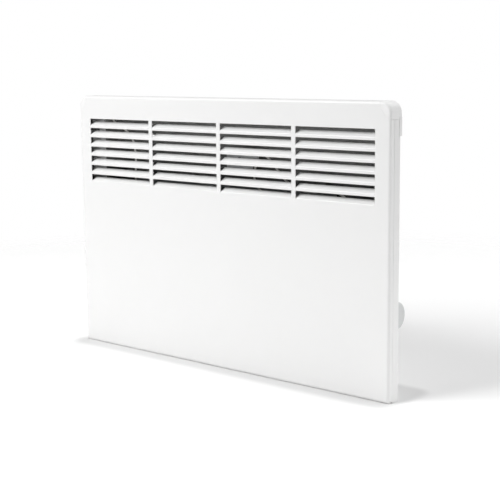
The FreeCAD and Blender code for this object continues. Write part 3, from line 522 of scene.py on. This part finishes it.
def make_knob(finishes):
    """The thermostat's fluted knob, dished on its face, and the raised pointer on it."""
    low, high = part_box("thermostat_knob")
    centre = (low + high) / 2
    radius = (high.z - low.z) / 2
    length = high.x - low.x - 0.5 * MM
    profile = rounded_profile(radius, length, KNOB_RIM)
    rings = turned_rings(profile, (low.x, centre.y, centre.z), KNOB_AROUND, KNOB_FLUTES, FLUTE_DEPTH,
                         KNOB_DISH)
    add_piece("dial_knob", loft(rings), "thermostat_dial", finishes["grey_plastic"],
              ["thermostat_knob"])
    turn = KNOB_POINTER_TURN
    out = np.array([0.0, -math.sin(turn), math.cos(turn)])
    across = np.array([0.0, math.cos(turn), math.sin(turn)])
    hub = np.array([high.x - KNOB_DISH, centre.y, centre.z])
    pointer = bar_rings(hub + out * POINTER_START, hub + out * (radius - POINTER_END_GAP), across, (1, 0, 0),
                        1.1 * MM, 0.65 * MM, taper=(0.7, 1.0))
    add_piece("dial_pointer", loft(pointer), "thermostat_dial", finishes["black_plastic"])


def make_dial_scale(finishes):
    """The scale above the knob: a bead that widens as the setting rises, and two small dots beyond its wide
    end.
    """
    knob_low, knob_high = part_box("thermostat_knob")
    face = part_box("control_plate")[1].x
    centre = (face + 0.02 * MM, (knob_low.y + knob_high.y) / 2, (knob_low.z + knob_high.z) / 2)
    radius = (knob_high.z - knob_low.z) / 2 + DIAL_GAP
    along = np.linspace(0, 1, 48)
    widths = (0.12 + 1.1 * along) * MM * np.sqrt(1 - (2 * along - 1) ** 20 * 0.995)
    wedge = arc_rings(centre, radius, -DIAL_REACH + 2 * DIAL_REACH * 0.86 * along, widths, 0.22 * MM)
    dots = []
    for angle, size in ((DIAL_REACH * 0.86, 1.1), (DIAL_REACH * 1.0, 0.8)):
        swing = (0.0, -radius * math.sin(angle), radius * math.cos(angle))
        spot = np.array(centre) + swing
        dots.append(loft(button_rings(spot, size * MM, 0.25 * MM)))
    add_piece("dial_scale", join([loft(wedge)] + dots), "heater", finishes["black_plastic"])


def button_rings(spot, radius, height, around=20, steps=7):
    """A low round button on a wall that faces +X: half an ellipse turned about its own axis."""
    turn = np.linspace(0.04, math.pi - 0.04, steps)
    angle = np.linspace(0, 2 * math.pi, around, endpoint=False)
    x = spot[0] + height * np.cos(turn)[:, None] + 0 * angle[None, :]
    y = spot[1] + radius * np.outer(np.sin(turn), np.cos(angle))
    z = spot[2] + radius * np.outer(np.sin(turn), np.sin(angle))
    return np.stack([x, y, z], axis=-1)


def make_rocker_marks(finishes):
    """The on bar and the off ring, raised on the two slanting faces of the switch's rocker."""
    low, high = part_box("switch_rocker")
    along = np.array([math.sin(ROCKER_TILT), 0.0, math.cos(ROCKER_TILT)])
    out = np.array([math.cos(ROCKER_TILT), 0.0, -math.sin(ROCKER_TILT)])
    across = np.array([0.0, 1.0, 0.0])
    pivot = np.array([PIVOT_X, (low.y + high.y) / 2, PIVOT_Z])

    def face(end):
        """The middle of one end's face, the way up it and the way out of it."""
        up = along + end * ROCKER_SLOPE * out
        away = out - end * ROCKER_SLOPE * along
        length = math.hypot(1.0, ROCKER_SLOPE)
        return pivot + end * along * MARK_PLACE + out * MARK_RISE, up / length, away / length

    spot, up, away = face(1)
    bar = loft(bar_rings(spot - up * MARK_SIZE, spot + up * MARK_SIZE, across, away, 0.3 * MM, 0.2 * MM))
    spot, up, away = face(-1)
    path = np.linspace(0, 2 * math.pi, 36, endpoint=False)
    section = np.linspace(0, 2 * math.pi, 10, endpoint=False)
    reach = MARK_SIZE + 0.28 * MM * np.cos(section)[None, :]
    ring = (spot + (reach * np.cos(path)[:, None])[..., None] * across
            + (reach * np.sin(path)[:, None])[..., None] * up
            + (0.2 * MM * np.sin(section)[None, :] + 0 * reach)[..., None] * away)
    add_piece("rocker_marks", join([bar, hoop(ring)]), "mains_rocker",
              finishes["white_plastic"])


def hoop(rings):
    """A closed skin through rings of points that come back to the first ring."""
    count, around = rings.shape[:2]
    row, column = np.meshgrid(np.arange(count), np.arange(around), indexing="ij")
    here = row * around + column
    beside = row * around + (column + 1) % around
    next_here = (row + 1) % count * around + column
    next_beside = (row + 1) % count * around + (column + 1) % around
    quads = np.stack([here, beside, next_beside, next_here], axis=-1).reshape(-1, 4)
    points = rings.reshape(-1, 3)
    triangles = np.concatenate([quads[:, [0, 1, 2]], quads[:, [0, 2, 3]]])
    corners = points[triangles]
    volume = np.einsum("ij,ij->i", corners[:, 0], np.cross(corners[:, 1], corners[:, 2])).sum()
    faces = quads.tolist()
    return points, [face[::-1] for face in faces] if volume < 0 else faces


# ---- stage, lights and camera ----
def build_floor():
    """A pale round floor: rings of points that spread from the middle to the rim."""
    around = np.linspace(0, 2 * math.pi, FLOOR_AROUND, endpoint=False)
    out = np.geomspace(0.02, FLOOR_RADIUS, FLOOR_RINGS)
    x = np.outer(out, np.cos(around))
    y = np.outer(out, np.sin(around))
    rings = np.stack([x, y, np.zeros_like(x)], axis=-1)
    points = np.concatenate([rings.reshape(-1, 3), [[0.0, 0.0, 0.0]]])
    row, column = np.meshgrid(np.arange(FLOOR_RINGS - 1), np.arange(FLOOR_AROUND), indexing="ij")
    near = row * FLOOR_AROUND + column
    side = row * FLOOR_AROUND + (column + 1) % FLOOR_AROUND
    quads = np.stack([near, near + FLOOR_AROUND, side + FLOOR_AROUND, side], axis=-1).reshape(-1, 4)
    column = np.arange(FLOOR_AROUND)
    hub = np.stack([column, (column + 1) % FLOOR_AROUND, np.full(FLOOR_AROUND, len(points) - 1)], axis=-1)
    mesh = bpy.data.meshes.new("floor")
    mesh.from_pydata(points.tolist(), [], quads.tolist() + hub.tolist())
    floor = bpy.data.objects.new("floor", mesh)
    bpy.context.scene.collection.objects.link(floor)
    mesh.materials.append(floor_paper("floor_paper"))


def area_light(name, place, aim, width, height, power):
    """A soft rectangular light aimed at a point, and hidden from the camera."""
    data = bpy.data.lights.new(name, "AREA")
    data.shape = "RECTANGLE"
    data.size = width
    data.size_y = height
    data.energy = power
    light = bpy.data.objects.new(name, data)
    bpy.context.scene.collection.objects.link(light)
    light.location = place
    light.rotation_euler = (Vector(aim) - Vector(place)).to_track_quat("-Z", "Y").to_euler()
    light.visible_camera = False


def build_lights():
    """A white room with a key from the front left, a broad light over the back and a fill at the side."""
    scene = bpy.context.scene
    world = bpy.data.worlds.new("studio")
    world.use_nodes = True
    tree = world.node_tree
    background = tree.nodes["Background"]
    background.inputs["Color"].default_value = (1.0, 1.0, 1.0, 1.0)
    ray = tree.nodes.new("ShaderNodeLightPath")
    strength = tree.nodes.new("ShaderNodeMapRange")
    strength.inputs["To Min"].default_value = WORLD_LIGHT
    strength.inputs["To Max"].default_value = 1.0
    tree.links.new(ray.outputs["Is Camera Ray"], strength.inputs["Value"])
    tree.links.new(strength.outputs["Result"], background.inputs["Strength"])
    scene.world = world
    scene.view_settings.view_transform = "Standard"
    area_light("key", KEY_PLACE, (0.0, 0.0, 0.2), 1.6, 1.5, KEY_POWER)
    area_light("back", BACK_PLACE, (0.0, 2.0, 0.0), 5.0, 4.0, BACK_POWER)
    area_light("side", SIDE_PLACE, (0.2, 0.0, 0.2), 1.6, 1.6, SIDE_POWER)


def build_camera():
    """A long-lens camera at the right front of the heater, a little above it."""
    data = bpy.data.cameras.new("camera")
    data.lens = CAMERA_LENS
    data.sensor_width = 36.0
    camera = bpy.data.objects.new("camera", data)
    bpy.context.scene.collection.objects.link(camera)
    turned = Matrix.Rotation(CAMERA_TURN, 4, "Z") @ Matrix.Rotation(math.pi / 2 + CAMERA_TILT, 4, "X")
    camera.matrix_world = Matrix.Translation(CAMERA_PLACE) @ turned @ Matrix.Rotation(CAMERA_ROLL, 4, "Z")
    bpy.context.scene.camera = camera


FINISHES = make_finishes()
dress_cad(FINISHES)
make_knob(FINISHES)
make_dial_scale(FINISHES)
make_rocker_marks(FINISHES)
build_floor()
build_lights()
build_camera()
